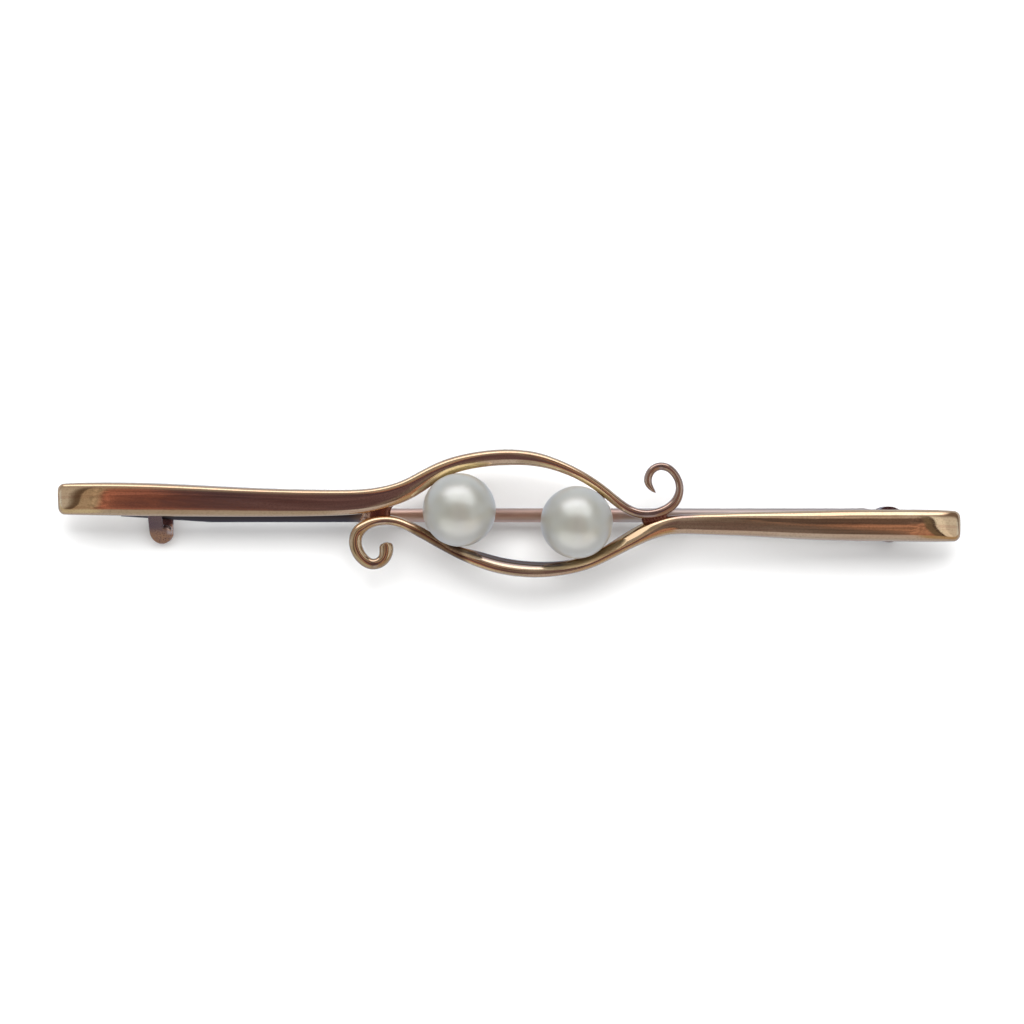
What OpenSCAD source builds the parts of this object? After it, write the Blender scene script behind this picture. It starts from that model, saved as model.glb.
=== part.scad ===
// Bar brooch with two pearls, lying face up. Millimetres, +X along the bar, +Z out of its face.
// The origin is under the middle of the brooch, on the surface that its catch and joint rest on.

/* [Strips] */
// Height of the strips' polished face above the surface
strip_top = 3.8; // [3.7:0.1:4.2]
// Thickness of a strip of no width; it grows with the width
strip_thin = 0.35; // [0.3:0.05:0.45]
// Growth of the thickness with the width
strip_thicken = 0.45; // [0.35:0.01:0.45]
// Length over which the bars' outer ends roll down
end_roll = 1.6; // [1.2:0.1:2.0]
// Corner radius of the bars' outer ends, seen from above
end_corner = 0.4; // [0.2:0.05:0.5]

/* [Pearls] */
// Diameter of the left pearl
left_pearl_d = 4.88; // [4.7:0.02:4.9]
// Diameter of the right pearl
right_pearl_d = 4.82; // [4.7:0.02:4.9]
// Wall of the shallow cups under the pearls
cup_wall = 0.3; // [0.25:0.05:0.35]
// Radius of the pegs that hold the pearls
peg_r = 0.33; // [0.25:0.01:0.4]

/* [Pin] */
// Radius of the pin stem
pin_r = 0.47; // [0.4:0.01:0.48]
// Height of the pin's axis above the surface
pin_z = 1.35; // [1.3:0.01:1.4]
// Tilt of the rivet, so that the pin swings out of the hook's open side
rivet_tilt = 40; // [39:1:42]
// Distance from the rivet to the point
pin_length = 51.4; // [50.8:0.1:52]
// Length of the tapered point
point_length = 6; // [5.5:0.1:6.5]
// Radius of the flattened eye that turns on the rivet
eye_r = 0.6; // [0.55:0.01:0.62]
// Thickness of the flattened eye
eye_thick = 0.5; // [0.4:0.01:0.52]
// Radius of the rivet
rivet_r = 0.22; // [0.18:0.01:0.24]

/* [Catch] */
// Thickness of the hook's sheet
hook_sheet = 0.42; // [0.36:0.01:0.44]
// Width of the hook along the bar
hook_w = 1.5; // [1.3:0.02:1.6]

/* [Hidden] */
gold = [0.80, 0.61, 0.40];
rose_gold = [0.74, 0.55, 0.42];
pearl_white = [0.86, 0.87, 0.84];
$fn = 48;

// Upper strip, a row for each section from the left bar's end to the tip of the right scroll
// [x, y, width]
upper_sections = [
    [-30.06, 1.01, 2.02], [-28.47, 1.04, 2.15], [-23.83, 1.00, 2.21], [-17.19, 0.81, 1.90],
    [-12.54, 0.78, 1.75], [-9.89, 0.90, 1.56], [-8.23, 1.17, 1.46], [-6.90, 1.61, 1.36],
    [-5.77, 2.24, 1.26], [-4.58, 2.92, 1.13], [-3.25, 3.40, 1.06], [-1.59, 3.70, 1.06],
    [0.07, 3.80, 1.05], [1.73, 3.68, 0.93], [3.25, 3.25, 0.76], [4.71, 2.61, 0.66],
    [6.04, 1.77, 0.64], [7.23, 0.80, 0.64], [8.16, 0.21, 0.64], [9.16, 0.02, 0.62],
    [10.22, 0.22, 0.66], [11.05, 0.83, 0.63], [11.35, 1.76, 0.52], [11.08, 2.59, 0.50],
    [10.49, 3.14, 0.52], [9.76, 3.14, 0.53], [9.29, 2.62, 0.53], [9.29, 1.99, 0.49],
    [9.72, 1.46, 0.13]
];
// Lower strip, from the right bar's end to the tip of the left scroll
// [x, y, width]
lower_sections = [
    [30.08, -0.79, 2.00], [28.61, -0.74, 2.12], [25.95, -0.70, 2.12], [22.63, -0.66, 2.06],
    [19.31, -0.62, 1.88], [16.00, -0.56, 1.59], [13.34, -0.62, 1.41], [11.35, -0.72, 1.28],
    [10.02, -0.99, 1.21], [8.83, -1.39, 1.24], [7.50, -2.04, 1.14], [6.40, -2.64, 1.03],
    [5.10, -3.21, 0.98], [3.38, -3.57, 1.03], [1.39, -3.64, 1.15],
    [-0.60, -3.38, 1.15], [-2.06, -2.94, 1.10], [-3.50, -2.45, 0.80], [-4.60, -1.85, 0.62],
    [-5.91, -1.06, 0.68], [-7.23, -0.52, 0.69], [-8.23, -0.37, 0.70], [-9.23, -0.54, 0.75],
    [-10.00, -1.10, 0.84], [-10.21, -1.88, 0.86], [-9.90, -2.74, 0.82], [-9.16, -3.31, 0.72],
    [-8.42, -3.06, 0.76], [-8.14, -2.45, 0.88], [-8.20, -1.92, 0.78]
];
rings_between = 3;
end_rings = 5;
// A strip's cross-section: a low dome over nearly upright sides and a flat back
section_points = 14;
dome_power = 3.2;
back_power = 5;

// Pearls and cups
left_pearl_xy = [-3.29, 0.30];
right_pearl_xy = [4.49, -0.51];
pearl_gap = 0.04;
cup_floor = strip_top - 1.78;
cup_lip_drop = 1.5;
peg_length = 1.9;
peg_clearance = 0.05;

// Solder where the strips and cups meet
web_xy = [-8.83, 0.17];
web_length = 1.92;
web_r = 0.4;
web_z = strip_top - 0.6;
scroll_bead_xyz = [10.2, -0.25, strip_top - 0.49];
scroll_bead_r = 0.34;
cup_bead_r = 0.36;
cup_bead_z = strip_top - 0.6;
// Directions from the pearls' centres to the beads that hold their cups
left_bead_angles = [118, 246];
right_bead_angles = [48, 278];

// Joint and rivet
rivet_xy = [25.35, -0.06];
plate_xy = [25.35, -0.66];
plate_r = 1.19;
plate_thick = 0.4;
ear_span = 1.5;
joint_bar_w = 2.12;
run_gap = 0.02;
side_gap = 0.05;
slot_head = 0.1;
rivet_back = 1.25;
rivet_front = 0.53;
rivet_head_r = 0.32;
rivet_head_h = 0.1;
strip_bite = 0.3;
// How far cuts run past what they cut
past = 1;

// Pin
tang_length = 1.8;
tang_bite = 0.2;
tang_depth = 0.8;
neck_at = 30;
neck_length = 2;
neck_step = 0.01;
point_r = 0.06;

// Hook
hook_x = -23.35;
hook_root = [0.25, strip_top - 1.05];
hook_foot = [-1.82, hook_sheet / 2];
hook_tip_y = 0.15;
hook_round_y = -1.24;
notch_w = 0.56;
notch_z = 1.55;

// Control points for a smooth curve that passes through the sections
function ends_added(p) = concat([2 * p[0] - p[1]], p, [2 * p[len(p) - 1] - p[len(p) - 2]]);
function controls(p) =
    let (q = ends_added(p))
    ends_added([for (i = [1 : len(p)]) (8 * q[i] - q[i - 1] - q[i + 1]) / 6]);
// Point and direction of a uniform cubic B-spline at u, where each section is one unit
function curve_at(c, u) =
    let (i = min(floor(u), len(c) - 4), t = u - i)
    ((1 - t)^3 * c[i] + (3 * t^3 - 6 * t^2 + 4) * c[i + 1]
        + (3 * t^2 + 3 * t + 1 - 3 * t^3) * c[i + 2] + t^3 * c[i + 3]) / 6;
function heading_at(c, u) =
    let (i = min(floor(u), len(c) - 4), t = u - i)
    (-(1 - t)^2 * c[i] + (3 * t^2 - 4 * t) * c[i + 1]
        + (1 + 2 * t - 3 * t^2) * c[i + 2] + t^2 * c[i + 3]) / 2;

function thickness(w) = strip_thin + strip_thicken * w;
// How far a quarter round of the given length has fallen at distance d from its end
function rolled(d, length) = d < length ? 1 - sqrt(1 - (1 - d / length)^2) : 0;
function power_of(v, p) = sign(v) * abs(v)^(2 / p);
function section_at(a) =
    let (p = sin(a) > 0 ? dome_power : back_power)
    [power_of(cos(a), p), power_of(sin(a), p)];

// One ring of a strip: half its width to each side of its line, and its thickness below its face
function ring(c, u, end_x) =
    let (
        s = curve_at(c, u),
        h = heading_at(c, u),
        side = [h[1], -h[0]] / norm([h[0], h[1]]),
        d = abs(end_x - s[0]),
        half_w = s[2] / 2 - end_corner * rolled(d, end_corner),
        thick = thickness(s[2]),
        fall = (thick - strip_thin) * rolled(d, end_roll)
    )
    [for (k = [0 : section_points - 1])
        let (q = section_at(360 * k / section_points))
        [
            s[0] + side[0] * half_w * q[0],
            s[1] + side[1] * half_w * q[0],
            strip_top - thick + (thick - fall) * (1 + q[1]) / 2
        ]
    ];
// Places of the rings: close together where the end rolls down, then evenly spaced
function ring_places(count, first_gap) = concat(
    [for (k = [0 : end_rings - 1]) (1 - cos(90 * k / end_rings)) * end_roll / first_gap],
    [for (k = [rings_between + 1 : rings_between * (count - 1)]) k / rings_between]
);

module strip(sections) {
    c = controls(sections);
    first_gap = abs(sections[1][0] - sections[0][0]);
    places = ring_places(len(sections), first_gap);
    rings = [for (u = places) ring(c, u, sections[0][0])];
    m = section_points;
    n = len(rings);
    mid = function(r) [for (a = [0 : 2]) [for (q = r) q[a]] * [for (q = r) 1 / m]];
    points = concat([for (r = rings) each r], [mid(rings[0]), mid(rings[n - 1])]);
    sides = [for (i = [0 : n - 2]) for (k = [0 : m - 1]) let (l = (k + 1) % m)
        each [[i * m + k, i * m + l, i * m + m + l], [i * m + k, i * m + m + l, i * m + m + k]]
    ];
    caps = [for (k = [0 : m - 1]) let (l = (k + 1) % m)
        each [[n * m, l, k], [n * m + 1, (n - 1) * m + k, (n - 1) * m + l]]
    ];
    polyhedron(points, concat(sides, caps), convexity = 6);
}

function pearl_centre(xy, d) = [xy[0], xy[1], cup_floor + cup_wall + pearl_gap + d / 2];

module cup(xy, d) {
    inner = d / 2 + pearl_gap;
    translate(pearl_centre(xy, d)) {
        rotate_extrude()
            intersection() {
                difference() {
                    circle(inner + cup_wall);
                    circle(inner);
                }
                translate([0, -2 * d]) square([d, 2 * d - cup_lip_drop]);
            }
        translate([0, 0, -inner - cup_wall / 2]) cylinder(r = peg_r, h = peg_length);
    }
}

// Beads of solder between a cup and the strips, in the given directions from the pearl's centre
module cup_beads(xy, d, angles) {
    reach = d / 2 + cup_bead_r / 4;
    for (a = angles)
        translate([xy[0] + reach * cos(a), xy[1] + reach * sin(a), cup_bead_z]) sphere(cup_bead_r);
}

module solder() {
    translate([web_xy[0] - web_length / 2, web_xy[1], web_z])
        rotate([0, 90, 0]) cylinder(r = web_r, h = web_length);
    translate(scroll_bead_xyz) sphere(scroll_bead_r);
    cup_beads(left_pearl_xy, left_pearl_d, left_bead_angles);
    cup_beads(right_pearl_xy, right_pearl_d, right_bead_angles);
}

// Turns its children about the rivet's centre, so that Y runs along the rivet
// and -Z the way that the pin swings open
module at_rivet() {
    translate([rivet_xy[0], rivet_xy[1], pin_z]) rotate([rivet_tilt, 0, 0]) children();
}

// The rivet's body and countersunk head, grown by a gap and with its head run on by a length
module rivet_shape(gap, run_on) {
    rotate([-90, 0, 0]) {
        translate([0, 0, -rivet_back - gap])
            cylinder(r = rivet_r + gap, h = rivet_back + gap + rivet_front);
        translate([0, 0, rivet_front - rivet_head_h])
            cylinder(r1 = rivet_r + gap, r2 = rivet_head_r + gap, h = rivet_head_h);
        if (run_on > 0)
            translate([0, 0, rivet_front]) cylinder(r = rivet_head_r + gap, h = run_on);
    }
}

module pin_joint() {
    top = strip_top - thickness(joint_bar_w);
    slot_w = eye_thick + 2 * side_gap;
    difference() {
        union() {
            translate([plate_xy[0], plate_xy[1], top - plate_thick])
                cylinder(r = plate_r, h = plate_thick + strip_bite);
            intersection() {
                translate([plate_xy[0], plate_xy[1], 0])
                    cylinder(r = plate_r, h = top);
                translate([plate_xy[0] - ear_span / 2, plate_xy[1] - plate_r - past, -past])
                    cube([ear_span, 2 * (plate_r + past), top + past]);
            }
        }
        at_rivet()
            translate([-ear_span, -slot_w / 2, -strip_top])
            cube([2 * ear_span, slot_w, strip_top + eye_r + slot_head]);
        at_rivet() rivet_shape(run_gap, past);
    }
}

module hook_profile() {
    lean = hook_root - hook_foot;
    translate(hook_foot)
        rotate(atan2(lean[1], lean[0]))
        translate([0, -hook_sheet / 2]) square([norm(lean), hook_sheet]);
    translate(hook_foot) circle(hook_sheet / 2);
    translate([hook_foot[0], 0]) square([hook_tip_y - hook_foot[0], hook_sheet]);
    translate([hook_tip_y, hook_sheet / 2]) circle(hook_sheet / 2);
}

module catch_hook() {
    difference() {
        intersection() {
            translate([hook_x - hook_w / 2, 0, 0])
                rotate([90, 0, 90]) linear_extrude(hook_w) hook_profile();
            translate([hook_x, hook_round_y, -past]) {
                cylinder(r = hook_w / 2, h = strip_top + past);
                translate([-hook_w / 2, 0, 0]) cube([hook_w, strip_top, strip_top + past]);
            }
        }
        translate([hook_x + hook_w / 2 - notch_w, -strip_top, notch_z])
            cube([notch_w + past, 2 * strip_top, strip_top]);
    }
}

module bar_frame() {
    color(gold) {
        strip(upper_sections);
        strip(lower_sections);
        cup(left_pearl_xy, left_pearl_d);
        cup(right_pearl_xy, right_pearl_d);
        solder();
        pin_joint();
        catch_hook();
    }
}

module pearl(xy, d) {
    color(pearl_white)
        translate(pearl_centre(xy, d))
        difference() {
            sphere(d / 2, $fn = 96);
            translate([0, 0, -d]) cylinder(r = peg_r + peg_clearance, h = d / 2 + peg_length);
        }
}

module left_pearl() {
    pearl(left_pearl_xy, left_pearl_d);
}

module right_pearl() {
    pearl(right_pearl_xy, right_pearl_d);
}

module pin_stem() {
    shaft_end = pin_length - point_length;
    front_r = pin_r - neck_step;
    color(rose_gold) at_rivet() {
        difference() {
            union() {
                translate([0, eye_thick / 2, 0]) rotate([90, 0, 0]) cylinder(r = eye_r, h = eye_thick);
                translate([-tang_length - tang_bite, -eye_thick / 2, -tang_depth / 2])
                    cube([tang_length + tang_bite, eye_thick, tang_depth]);
            }
            translate([0, eye_thick, 0])
                rotate([90, 0, 0]) cylinder(r = rivet_r + run_gap, h = 2 * eye_thick);
        }
        rotate([0, -90, 0]) {
            translate([0, 0, tang_length]) cylinder(r = pin_r, h = neck_at - tang_length);
            translate([0, 0, neck_at]) cylinder(r1 = pin_r, r2 = front_r, h = neck_length);
            translate([0, 0, neck_at + neck_length])
                cylinder(r = front_r, h = shaft_end - neck_at - neck_length);
            translate([0, 0, shaft_end]) cylinder(r1 = front_r, r2 = point_r, h = point_length);
        }
    }
}

module hinge_rivet() {
    color(rose_gold) at_rivet() rivet_shape(0, 0);
}

bar_frame();
left_pearl();
right_pearl();
pin_stem();
hinge_rivet();
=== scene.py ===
# %% [markdown]
# # A gold bar brooch with pearls
# The brooch is two tapered gold strips that sweep round an open eye and end in small scrolls.
# Two pearls sit in cups inside the eye, and a hinged pin runs behind to a hook.
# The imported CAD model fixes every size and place. Each cell makes one piece or finish round it,
# in metres and in the same frame: +X along the bar, +Z out of its face.

import math

import bmesh
import bpy
import numpy as np
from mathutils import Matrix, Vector


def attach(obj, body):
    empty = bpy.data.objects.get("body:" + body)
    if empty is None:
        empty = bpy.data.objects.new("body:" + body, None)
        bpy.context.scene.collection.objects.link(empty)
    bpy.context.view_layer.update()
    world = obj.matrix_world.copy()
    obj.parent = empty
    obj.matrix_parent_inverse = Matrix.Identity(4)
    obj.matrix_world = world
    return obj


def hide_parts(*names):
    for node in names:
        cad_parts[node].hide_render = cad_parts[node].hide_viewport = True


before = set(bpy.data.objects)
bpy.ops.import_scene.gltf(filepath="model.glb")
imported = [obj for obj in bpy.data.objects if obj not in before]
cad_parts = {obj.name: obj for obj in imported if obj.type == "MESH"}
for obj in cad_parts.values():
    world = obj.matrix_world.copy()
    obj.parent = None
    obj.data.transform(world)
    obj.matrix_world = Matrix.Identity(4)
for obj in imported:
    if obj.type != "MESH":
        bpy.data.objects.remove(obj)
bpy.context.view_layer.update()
MM = 0.001


# %% [markdown]
# ## Sums in a node tree
# A finish is a sum of patterns, and a sum reads best as Python. The class Wire wraps an output
# socket, so that a + b, 1 - mask or 2 * height add the Math nodes by themselves. The class Bench
# adds any other node. Both serve materials, the room's light and Geometry Nodes.

# %% Wires and the bench that joins them
class Wire:
    """An output socket that can be used in sums."""

    def __init__(self, bench, socket):
        self.bench, self.socket = bench, socket

    def worked(self, operation, first, second):
        is_vector = [
            isinstance(v, tuple) or (isinstance(v, Wire) and v.socket.type in ("VECTOR", "RGBA"))
            for v in (first, second)
        ]
        values = {0: first, 1: second}
        if not any(is_vector):
            return self.bench.add("ShaderNodeMath", {"operation": operation}, values)
        if operation == "MULTIPLY" and not all(is_vector):
            vector, number = (first, second) if is_vector[0] else (second, first)
            operation, values = "SCALE", {"Vector": vector, "Scale": number}
        return self.bench.add("ShaderNodeVectorMath", {"operation": operation}, values)

    def calc(self, operation, other=0.0):
        """Any other one- or two-number operation, such as SINE or MAXIMUM."""
        return self.worked(operation, self, other)

    def parts(self):
        """The X, Y and Z of a vector."""
        node = self.bench.tree.nodes.new("ShaderNodeSeparateXYZ")
        self.bench.tree.links.new(self.socket, node.inputs[0])
        return [Wire(self.bench, socket) for socket in node.outputs]

    def rise(self, low, high):
        """0 below low, 1 above high and a smooth rise between."""
        values = {"Value": self, "From Min": low, "From Max": high}
        return self.bench.add("ShaderNodeMapRange", {"interpolation_type": "SMOOTHSTEP"}, values)

    def within(self, low, high, soft):
        """1 from low to high, with soft edges outside them."""
        return self.rise(low - soft, low) * (1 - self.rise(high, high + soft))


# each of Python's operators makes a node, with the Wire on its left or on its right
SIGNS = {"add": "ADD", "sub": "SUBTRACT", "mul": "MULTIPLY", "truediv": "DIVIDE", "pow": "POWER"}
for sign, kind in SIGNS.items():
    setattr(Wire, f"__{sign}__", lambda self, other, op=kind: self.worked(op, self, other))
    setattr(Wire, f"__r{sign}__", lambda self, other, op=kind: self.worked(op, other, self))


class Bench:
    """A node tree to work on."""

    def __init__(self, tree):
        self.tree = tree

    def find(self, sockets, key):
        if isinstance(key, int):
            return sockets[key]
        return next(s for s in sockets if s.name == key and s.enabled)

    def add(self, kind, settings=None, values=None, out=0):
        node = self.tree.nodes.new(kind)
        for name, value in (settings or {}).items():
            setattr(node, name, value)
        for key, value in (values or {}).items():
            socket = self.find(node.inputs, key)
            if isinstance(value, Wire):
                self.tree.links.new(value.socket, socket)
            elif socket.type == "RGBA" and len(value) == 3:
                socket.default_value = (*value, 1)
            else:
                socket.default_value = value
        return Wire(self, self.find(node.outputs, out))

    def mix(self, factor, first, second):
        """A colour from first, at factor 0, to second, at factor 1."""
        values = {"Factor": factor, "A": first, "B": second}
        return self.add("ShaderNodeMix", {"data_type": "RGBA"}, values, "Result")

    def noise(self, place, scale, detail=2.0, rough=0.5, twist=0.0):
        """Soft noise from 0 to 1 round 0.5; scale is in patches a millimetre."""
        values = {"Vector": place, "Scale": scale, "Detail": detail, "Roughness": rough}
        return self.add("ShaderNodeTexNoise", {}, {**values, "Distortion": twist}, "Fac")


# %% [markdown]
# ## Polished gold
# Polished 14 carat gold shows mostly the room: a soft mirror with fine hairlines from wear, faint
# ripples from the file and the mop, and a little more red where the metal was heated. Here the
# colour drifts slightly, ripples, pits and hairlines go into one bump, and pits and hairlines
# change the gloss.

# %% Finishes for the gold
def own_place(bench):
    """The piece's own place in mm."""
    return bench.add("ShaderNodeTexCoord", out="Object") * (1 / MM)


def new_finish(name, follows=None):
    """An empty finish and its place in mm: the piece's own, or an attribute."""
    material = bpy.data.materials.new(name)
    material.use_nodes = True
    tree = material.node_tree
    shader = tree.nodes["Principled BSDF"]
    bench = Bench(tree)
    if follows:
        place = bench.add("ShaderNodeAttribute", {"attribute_name": follows}, out="Vector")
    else:
        place = own_place(bench)
    return material, shader, bench, place


def bumped(bench, height):
    """A normal from a height in mm."""
    values = {"Strength": 1.0, "Distance": MM, "Height": height}
    return bench.add("ShaderNodeBump", {}, values, "Normal")


def plug(bench, shader, **sockets):
    """Sets or links the shader's sockets; an underscore stands for a space."""
    for name, value in sockets.items():
        socket = shader.inputs[name.replace("_", " ")]
        if isinstance(value, Wire):
            bench.tree.links.new(value.socket, socket)
        else:
            socket.default_value = value


def gold_finish(name, pale, deep, gloss, ripple, hairline, stretch, follows=None, stains_and_painted_light=None):
    """Metal with drifting colour, ripples along the piece and hairlines; sizes in millimetres.
    The last argument adds stains and painted light and shade.
    """
    material, shader, bench, place = new_finish(name, follows)
    drift = bench.noise(place * (0.4, 1.0, 1.0), 0.5, 3.0)
    ripples = bench.noise(place * (1 / stretch, 1.0, 1.0), 1.6, 2.0, 0.5, 0.4)
    pits = bench.noise(place, 9.0, 4.0, 0.65)
    lines = bench.noise(place * (0.5, 14.0, 14.0), 1.0, 3.0, 0.7)
    height = ripple * ripples + hairline * lines + 0.5 * hairline * pits
    colour = bench.mix(drift.rise(0.35, 0.65), pale, deep)
    if stains_and_painted_light:
        colour = stains_and_painted_light(bench, colour, place, pits)
    rough = gloss + 0.06 * pits.rise(0.5, 0.75) + 0.04 * lines
    normal = bumped(bench, height)
    plug(bench, shader, Base_Color=colour, Metallic=1.0, Roughness=rough, Normal=normal)
    return material


# %% [markdown]
# Some colour here is painted light and shade that the room and the lamps don't give. Red streaks
# along the bars are painted reflections, and a painted warm glow lies on the strips' inner side
# beside the pearls. The lower limb under the left pearl and the lower arch's inner face are painted
# dark as shade under the pearls. The right scroll is turned rose-grey, the left scroll's lower loop
# browner, and the lower arch's outer half greyer and, further right, browner. Pits are a little
# browner. The pin is painted dark as shade towards its point, and the catch dark as shade but for
# its foot. Each mark is a mask from places in mm, and one mix of its colour into what is there.

# %% Stains and painted light and shade
def strip_stains_and_painted_light(bench, colour, run, pits):
    """Painted reflections and shade on the two strips, some tints and browner pits, each with its
    colour.
    """
    x, y, _ = own_place(bench).parts()
    right_scroll = x.within(8.0, 11.7, 1.2) * y.rise(-0.35, -0.15)
    left_scroll = x.within(-10.8, -7.0, 0.3) * (1 - y.rise(-1.3, -0.7))
    # painted shade: the lower limb under the left pearl is turned dark brown
    limb_shade = x.within(-6.2, -3.2, 0.7) * (1 - y.rise(0.2, 0.4))
    # painted reflection: red streaks along the run, for the banded reflections of the wavy polish
    reflection_streak = bench.noise(run * (0.09, 2.6, 0.0), 1.0, 3.0, 0.6).rise(0.48, 0.72)
    limb_shade_tint = bench.mix(x.rise(-5.5, -4.7), (0.27, 0.16, 0.09), (0.15, 0.085, 0.06))
    across = run.parts()[1]
    filed = x.rise(-3.4, -2.6) * (1 - x.rise(8.0, 12.0)) * (1 - y.rise(-0.75, -0.60))
    duller = bench.mix(x.rise(1.0, 5.0), (0.72, 0.57, 0.41), (0.50, 0.37, 0.22))
    # painted reflection: a warm yellow glow on the upper strip's inner side beside the pearls
    beside_pearls = x.within(-4.4, -2.4, 1.2) + x.within(5.0, 6.4, 0.9)
    painted_glow = beside_pearls * y.rise(0.8, 1.2) * across.rise(0.0, 0.2)
    # painted shade: the lower arch's inner face under the pearls is turned almost black
    arch_shade = x.within(-3.6, 3.2, 1.2) * (1 - y.rise(-2.6, -2.3)) * across.rise(-0.01, 0.12)
    for mask, tint in (
        (0.55 * reflection_streak, (0.62, 0.36, 0.23)),
        (0.8 * right_scroll, (0.46, 0.33, 0.29)),
        (0.7 * left_scroll, (0.55, 0.41, 0.27)),
        (0.9 * limb_shade, limb_shade_tint),
        (filed * across.rise(-0.25, -0.05), duller),
        (0.75 * painted_glow, (1.0, 0.78, 0.38)),
        (0.3 * pits.rise(0.48, 0.62), (0.50, 0.34, 0.19)),
        (0.85 * arch_shade, (0.13, 0.105, 0.105)),
    ):
        colour = bench.mix(mask, colour, tint)
    return colour


def wire_shade_and_grey(bench, colour, run, pits):
    """Painted shade on the pin's point half, and grey beside the joint."""
    x = own_place(bench).parts()[0]
    ragged_edge = 0.15 * pits
    # painted shade: the pin left of x = -8 mm, which lies under the left bar, is turned almost
    # black
    colour = bench.mix(1 - x.rise(-11.0, -8.0), colour, (0.09, 0.08, 0.09))
    return bench.mix((x + ragged_edge).rise(7.0, 8.0) * 0.8, colour, (0.60, 0.52, 0.46))


def catch_painted_light(bench, colour, place, pits):
    """The catch is painted dark as shade at its root and lighter at its foot, as lit,
    and gets a painted highlight at one side.
    """
    x, y, _ = own_place(bench).parts()
    on_catch = 1 - x.rise(-21.0, -20.0)
    # painted light: the foot, out from under the bar, is turned lighter orange, mottled by the pits
    foot = on_catch * (1 - y.rise(-1.4, -0.8)) * (1 - 0.6 * pits.rise(0.45, 0.6))
    # painted highlight on the sheet's edge at one side
    painted_edge_highlight = x.within(-22.8, -22.3, 0.2) * y.within(-1.25, -0.75, 0.15)
    colour = bench.mix(0.85 * foot, colour, (0.60, 0.31, 0.15))
    return bench.mix(0.8 * painted_edge_highlight, colour, (0.72, 0.55, 0.46))


def solder_stains(bench, colour, place, pits):
    """A smear of paler solder on the web's outer end."""
    x, y, _ = own_place(bench).parts()
    smear = x.within(-9.8, -9.3, 0.12) * (1 - y.rise(0.15, 0.3)) * pits.rise(0.40, 0.52)
    return bench.mix(0.8 * smear, colour, (0.80, 0.60, 0.50))


strip_gold = gold_finish(
    "polished_gold", pale=(0.82, 0.61, 0.39), deep=(0.78, 0.55, 0.34), gloss=0.05, ripple=0.006,
    hairline=0.0005, stretch=7.0, follows="run", stains_and_painted_light=strip_stains_and_painted_light)
turned_gold = gold_finish(
    "turned_gold", pale=(0.78, 0.56, 0.35), deep=(0.70, 0.48, 0.29), gloss=0.16, ripple=0.004,
    hairline=0.001, stretch=1.0)
# painted shade: the catch and the joint's block get a dark gold for the shade under the bars
painted_shade_gold = gold_finish(
    "painted_shade_gold", pale=(0.24, 0.15, 0.13), deep=(0.15, 0.09, 0.10), gloss=0.24, ripple=0.012,
    hairline=0.002, stretch=1.5, stains_and_painted_light=catch_painted_light)
wire_gold = gold_finish(
    "wire_gold", pale=(0.72, 0.51, 0.41), deep=(0.54, 0.38, 0.31), gloss=0.42, ripple=0.005,
    hairline=0.003, stretch=7.0, follows="run", stains_and_painted_light=wire_shade_and_grey)
solder_gold = gold_finish(
    "solder_gold", pale=(0.30, 0.12, 0.08), deep=(0.16, 0.06, 0.045), gloss=0.24, ripple=0.005,
    hairline=0.0005, stretch=1.5, stains_and_painted_light=solder_stains)
print("finishes", [m.name for m in bpy.data.materials])


# %% [markdown]
# ## Pearl
# A pearl is thin layers of nacre. Light goes a little way in and comes back soft, and the layers
# give a blurred mirror on top, so there is some subsurface scattering under a rough coat. Faint
# growth mottling keeps the white from looking like porcelain.

# %% Finish for the pearls
def pearl_finish():
    material, shader, bench, place = new_finish("white_nacre")
    cloud = bench.noise(place, 0.45, 3.0, 0.55)
    grain = bench.noise(place, 7.0, 3.0, 0.6)
    colour = bench.mix(cloud.rise(0.3, 0.7), (0.55, 0.535, 0.465), (0.51, 0.49, 0.425))
    plug(
        bench, shader, Base_Color=colour, Roughness=0.30 + 0.08 * cloud, IOR=1.6,
        Normal=bumped(bench, 0.0012 * grain), Subsurface_Weight=0.25, Subsurface_Scale=1.0,
        Subsurface_Radius=(0.9 * MM, 0.8 * MM, 0.6 * MM),
        Coat_Weight=1.0, Coat_Roughness=0.32, Coat_IOR=2.3,
    )
    return material


nacre = pearl_finish()
print("finish", nacre.name)


# %% [markdown]
# ## A rail with a section at each place
# The strips, the pin, the hook and the web of solder are all a rounded section that follows a path
# while its width and depth change. A bevelled curve keeps one shape of section, so here it is a
# rule in Geometry Nodes. Python lays out a rail, a row of points that carry the section's
# directions and sizes. The tree makes a grid, one row for each rail point, and moves every point
# to its place on a superellipse, where power 2 is round wire and more is flatter. A slant slopes
# the section's face. The tree also stores "run", the way along, across and through the piece in
# mm, for streaks that follow it. Rows that shrink to nothing close the ends.

# %% The tree that sweeps a section along a rail
RAIL = {"side": "FLOAT_VECTOR", "up": "FLOAT_VECTOR", "half_width": "FLOAT", "half_depth": "FLOAT",
        "face_power": "FLOAT", "back_power": "FLOAT", "slant": "FLOAT", "along": "FLOAT"}


def new_tree(name, inputs):
    """The bench of a new Geometry Nodes tree, and a wire for each input."""
    tree = bpy.data.node_groups.new(name, "GeometryNodeTree")
    for label, kind in inputs.items():
        tree.interface.new_socket(label, in_out="INPUT", socket_type="NodeSocket" + kind)
    tree.interface.new_socket("Mesh", in_out="OUTPUT", socket_type="NodeSocketGeometry")
    bench = Bench(tree)
    given = tree.nodes.new("NodeGroupInput").outputs
    return bench, [Wire(bench, given[k]) for k in range(len(inputs))]


def finished_tree(bench, shape, material):
    """Makes the shape, in its material, what the tree gives out."""
    real = bench.add("GeometryNodeRealizeInstances", {}, {"Geometry": shape})
    coloured = bench.add("GeometryNodeSetMaterial", {}, {"Geometry": real, "Material": material})
    end = bench.tree.nodes.new("NodeGroupOutput")
    bench.tree.links.new(coloured.socket, end.inputs[0])
    return bench.tree


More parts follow.
